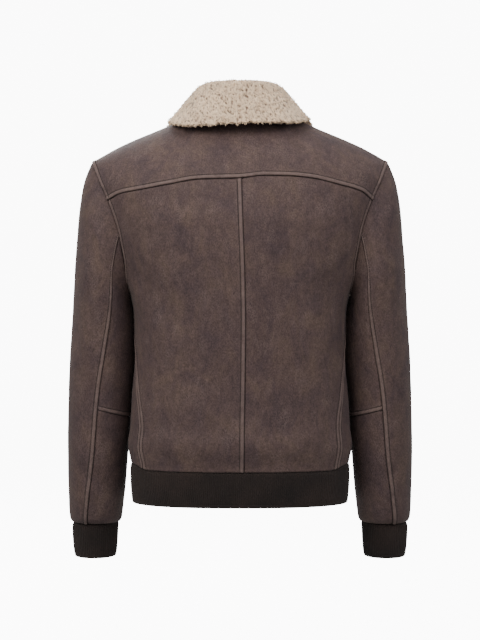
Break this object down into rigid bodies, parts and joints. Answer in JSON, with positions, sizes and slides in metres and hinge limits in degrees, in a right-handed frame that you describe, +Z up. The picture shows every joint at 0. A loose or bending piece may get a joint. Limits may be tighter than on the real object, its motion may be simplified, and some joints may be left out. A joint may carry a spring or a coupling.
{
  "type": "leather jacket",
  "caption": "Hip-length blouson in worn form: leather body and sleeves, wool collar, rib hem and cuffs, closed front zip.",
  "frame": {"origin": "middle of the neck opening at the height of the side neck points, where the wearer's shoulders hold the jacket up", "axes": "+Z up along the wearer's body, +Y to the wearer's back, +X to the wearer's left"},
  "size_m": [0.5554, 0.2645, 0.7521],
  "materials": {
    "leather": "matt, mottled brown sheepskin",
    "knit": "dark brown rib knit",
    "wool": "cream curly wool",
    "zip": "dark woven tape and chain",
    "metal": "dulled"
  },
  "bodies": {
    "jacket": {"yoke": "leather", "back_left": "leather", "back_right": "leather", "front_left": "leather", "front_right": "leather", "top_sleeve_left": "leather", "under_sleeve_upper_left": "leather", "under_sleeve_lower_left": "leather", "top_sleeve_right": "leather", "under_sleeve_upper_right": "leather", "under_sleeve_lower_right": "leather", "hem_rib": "knit", "cuff_left": "knit", "cuff_right": "knit", "collar": "wool", "zip_tape_and_chain": "zip", "zip_slider": "metal"},
    "pull_tab": {"zip_pull_tab": "metal"}
  },
  "joints": [
    {"name": "pull_tab_swing", "type": "hinge", "parent": "jacket", "child": "pull_tab", "pos_m": [0, -0.09841, -0.09905], "axis": [1, 0, 0], "range_deg": [-150, 0]}
  ]
}
